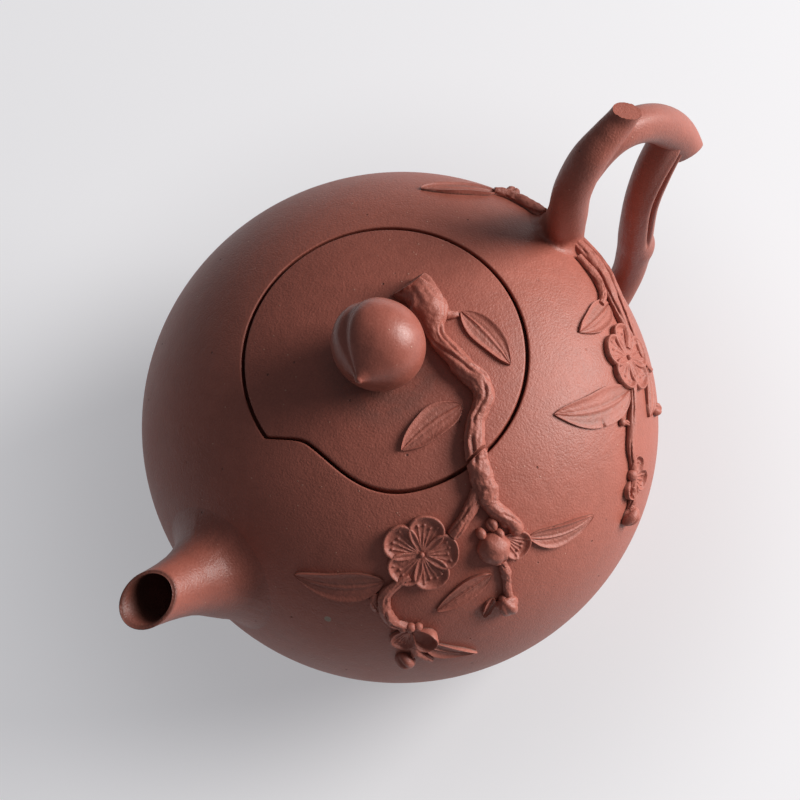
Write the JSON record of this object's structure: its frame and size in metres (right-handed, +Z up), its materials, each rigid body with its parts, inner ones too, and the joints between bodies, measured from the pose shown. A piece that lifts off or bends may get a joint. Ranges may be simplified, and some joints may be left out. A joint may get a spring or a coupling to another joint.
{
  "type": "teapot",
  "caption": "Round unglazed clay teapot with an inlaid notched lid, peach knob, branch-shaped handle, short spout and raised plum blossom sprays.",
  "frame": {"origin": "centre of the flat foot, on the surface that the pot stands on", "axes": "+Z up along the pot's axis; the spout points along -X and the handle towards +X"},
  "size_m": [0.156, 0.11, 0.1066],
  "materials": {
    "body_clay": "unglazed, burnished satin, fine grain",
    "inner_clay": "unglazed, scraped, matt",
    "polished_clay": "unglazed, rubbed smooth, satin",
    "branch_clay": "unglazed, tooled bark, satin",
    "ornament_clay": "unglazed, tooled, matt to satin"
  },
  "bodies": {
    "pot": {"base_disc": "body_clay", "body_wall": "body_clay", "shoulder_ring": "body_clay", "mouth_ledge": "inner_clay", "spout": "body_clay", "handle_upper_branch": "branch_clay", "handle_outer_branch": "branch_clay", "handle_lower_branch": "branch_clay", "bough": "ornament_clay", "bough_left_fork": "ornament_clay", "bough_right_fork": "ornament_clay", "blossom_front": "ornament_clay", "leaf_towards_spout": "ornament_clay", "twig_low": "ornament_clay", "blossom_low": "ornament_clay", "leaf_low": "ornament_clay", "bud_low": "ornament_clay", "blossom_cupped": "ornament_clay", "calyx_beads": "ornament_clay", "leaf_right_of_cup": "ornament_clay", "leaf_left_of_cup": "ornament_clay", "bud_stalk": "ornament_clay", "bud_leaf": "ornament_clay", "handle_root_twig": "ornament_clay", "leaf_below_handle": "ornament_clay", "blossom_handle_side": "ornament_clay", "leaf_large": "ornament_clay", "leaf_at_belly": "ornament_clay", "twig_hanging": "ornament_clay", "blossom_half": "ornament_clay", "bud_hanging": "ornament_clay", "back_twig": "ornament_clay", "back_leaf": "ornament_clay", "back_bud": "ornament_clay"},
    "lid": {"lid_plate": "body_clay", "lid_flange": "inner_clay", "peach_knob": "polished_clay", "lid_branch": "ornament_clay", "lid_leaf_right": "ornament_clay", "lid_leaf_left": "ornament_clay"}
  },
  "joints": [
    {"name": "lid_lift", "type": "slide", "parent": "pot", "child": "lid", "axis": [0, 0, 1], "range_m": [0, 0.06]}
  ]
}
